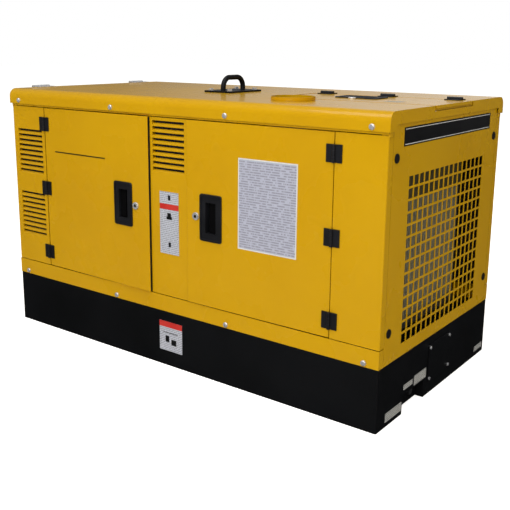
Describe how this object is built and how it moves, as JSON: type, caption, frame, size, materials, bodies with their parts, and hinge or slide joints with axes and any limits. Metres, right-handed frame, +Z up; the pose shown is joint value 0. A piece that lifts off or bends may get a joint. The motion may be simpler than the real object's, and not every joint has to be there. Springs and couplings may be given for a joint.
{
  "type": "engine driven welder",
  "caption": "Canopied diesel welding generator on a fuel-tank base, with hinged service doors, roof hatch, radiator grille and control panel.",
  "frame": {"origin": "on the floor under the centre of the base", "axes": "+X along the length towards the radiator grille, -Y the service side with the two doors, +Z up"},
  "size_m": [1.586, 0.8299, 0.96],
  "materials": {
    "yellow_paint": "glossy powder coat",
    "black_paint": "semi-matte powder coat",
    "black_hardware": "fine-grained moulded plastic",
    "chrome_hardware": "polished",
    "zinc_steel": "zinc plated",
    "acoustic_foam": "open-cell foam",
    "engine_casting": "painted casting",
    "aluminium_fins": "dusty fins",
    "machined_steel": "machined",
    "heat_steel": "heat-resistant paint",
    "rubber": "matte",
    "black_plastic": "moulded",
    "panel_grey": "satin",
    "red_plastic": "moulded",
    "blue_plastic": "moulded",
    "phenolic_board": "laminated board",
    "brass_studs": "turned",
    "galvanised": "galvanised",
    "battery_case": "moulded",
    "white_plastic": "moulded"
  },
  "bodies": {
    "root": {"air_filter": "black_plastic", "base_cover_plate": "black_paint", "base_frame": "black_paint", "battery": "battery_case", "canopy_bolts": "chrome_hardware", "canopy_frame": "yellow_paint", "control_end_panel": "yellow_paint", "control_panel": "panel_grey", "cover_hinge_fixed": "chrome_hardware", "cylinder_head": "engine_casting", "drain_plugs": "zinc_steel", "engine_block": "engine_casting", "engine_mounts": "rubber", "fan_shroud": "black_paint", "fixed_hinge_leaves": "black_hardware", "fuel_tank": "black_paint", "generator_housing": "engine_casting", "hole_plugs": "rubber", "left_louvre_panel": "yellow_paint", "lifting_eye": "black_paint", "middle_louvre_panel": "yellow_paint", "muffler": "heat_steel", "oil_pan": "engine_casting", "panel_instruments": "black_plastic", "power_sockets": "blue_plastic", "radiator_core": "aluminium_fins", "radiator_end_panel": "yellow_paint", "radiator_tanks": "black_paint", "rear_panel": "yellow_paint", "regulator_box": "galvanised", "right_blank_panel": "yellow_paint", "roof_panel": "yellow_paint", "terminal_board": "phenolic_board", "welding_reactor": "machined_steel", "welding_terminals": "brass_studs"},
    "left_door": {"left_door": "yellow_paint", "left_door_lining": "acoustic_foam", "left_door_fittings": "black_hardware"},
    "left_handle": {"left_handle": "black_hardware"},
    "left_lock": {"left_lock": "chrome_hardware"},
    "right_door": {"right_door": "yellow_paint", "right_door_lining": "acoustic_foam", "right_door_fittings": "black_hardware"},
    "right_handle": {"right_handle": "black_hardware"},
    "right_lock": {"right_lock": "chrome_hardware"},
    "roof_hatch": {"roof_hatch": "yellow_paint", "hatch_fittings": "black_hardware"},
    "hatch_handle": {"hatch_handle": "black_hardware"},
    "hatch_lock": {"hatch_lock": "chrome_hardware"},
    "panel_cover": {"panel_cover": "yellow_paint", "cover_hinge_moving": "chrome_hardware"},
    "current_dial": {"current_dial": "black_plastic"},
    "mode_switch": {"mode_switch": "black_plastic"},
    "key_switch": {"key_switch": "chrome_hardware"},
    "breaker_lever": {"breaker_lever": "black_plastic"},
    "emergency_stop": {"emergency_stop": "red_plastic"},
    "crankshaft": {"crankshaft": "machined_steel"},
    "cooling_fan": {"cooling_fan": "white_plastic"},
    "fuel_cap": {"fuel_cap": "black_plastic"},
    "radiator_cap": {"radiator_cap": "brass_studs"}
  },
  "joints": [
    {"name": "left_door_swing", "type": "hinge", "parent": "root", "child": "left_door", "pos_m": [-0.601, -0.4075, 0.5425], "axis": [0, 0, -1], "range_deg": [-1, 119]},
    {"name": "left_handle_pull", "type": "hinge", "parent": "left_door", "child": "left_handle", "pos_m": [-0.20833, -0.40135, 0.537], "axis": [0, 0, -1], "range_deg": [0, 30]},
    {"name": "left_lock_turn", "type": "hinge", "parent": "left_door", "child": "left_lock", "pos_m": [-0.13298, -0.41067, 0.537], "axis": [-0.0175, -0.9998, 0], "range_deg": [0, 90]},
    {"name": "right_door_swing", "type": "hinge", "parent": "root", "child": "right_door", "pos_m": [0.621, -0.4075, 0.5425], "axis": [0, 0, 1], "range_deg": [-0.5, 119.5]},
    {"name": "right_handle_pull", "type": "hinge", "parent": "right_door", "child": "right_handle", "pos_m": [0.2034, -0.39814, 0.537], "axis": [0, 0, 1], "range_deg": [0, 30]},
    {"name": "right_lock_turn", "type": "hinge", "parent": "right_door", "child": "right_lock", "pos_m": [0.12798, -0.4068, 0.537], "axis": [-0.0087, 1, 0], "range_deg": [0, 90]},
    {"name": "hatch_lift", "type": "hinge", "parent": "root", "child": "roof_hatch", "pos_m": [0.532, 0.13125, 0.905], "axis": [-1, 0, 0], "range_deg": [0, 100]},
    {"name": "hatch_handle_pull", "type": "hinge", "parent": "roof_hatch", "child": "hatch_handle", "pos_m": [0.465, 0.0325, 0.892], "axis": [-1, 0, 0], "range_deg": [0, 30]},
    {"name": "hatch_lock_turn", "type": "hinge", "parent": "roof_hatch", "child": "hatch_lock", "pos_m": [0.465, -0.043, 0.9], "axis": [0, 0, -1], "range_deg": [0, 90]},
    {"name": "panel_cover_lift", "type": "hinge", "parent": "root", "child": "panel_cover", "pos_m": [-0.793, 0, 0.903], "axis": [0, 1, 0], "range_deg": [0, 120]},
    {"name": "current_dial_turn", "type": "hinge", "parent": "root", "child": "current_dial", "pos_m": [-0.7, 0.19, 0.645], "axis": [1, 0, 0], "range_deg": [-140, 140]},
    {"name": "mode_switch_turn", "type": "hinge", "parent": "root", "child": "mode_switch", "pos_m": [-0.7, 0.07, 0.645], "axis": [1, 0, 0], "range_deg": [-45, 45]},
    {"name": "key_switch_turn", "type": "hinge", "parent": "root", "child": "key_switch", "pos_m": [-0.7, -0.05, 0.645], "axis": [1, 0, 0], "range_deg": [0, 90]},
    {"name": "breaker_throw", "type": "hinge", "parent": "root", "child": "breaker_lever", "pos_m": [-0.7053, 0.15, 0.56], "axis": [0, 1, 0], "range_deg": [-20, 20]},
    {"name": "emergency_stop_press", "type": "slide", "parent": "root", "child": "emergency_stop", "axis": [1, 0, 0], "range_m": [0, 0.006]},
    {"name": "crank_spin", "type": "hinge", "parent": "root", "child": "crankshaft", "pos_m": [0.3, 0, 0.345], "axis": [1, 0, 0], "continuous": true},
    {"name": "fan_spin", "type": "hinge", "parent": "root", "child": "cooling_fan", "pos_m": [0.6, 0, 0.46], "axis": [1, 0, 0], "continuous": true},
    {"name": "fuel_cap_turn", "type": "hinge", "parent": "root", "child": "fuel_cap", "pos_m": [-0.43, -0.3, 0.291], "axis": [0, 0, 1], "range_deg": [0, 90]},
    {"name": "radiator_cap_turn", "type": "hinge", "parent": "root", "child": "radiator_cap", "pos_m": [0.697, 0, 0.72], "axis": [0, 0, 1], "range_deg": [0, 90]}
  ],
  "couplings": [
    {"joint": "fan_spin", "follows": "crank_spin", "ratio": 1.75}
  ]
}
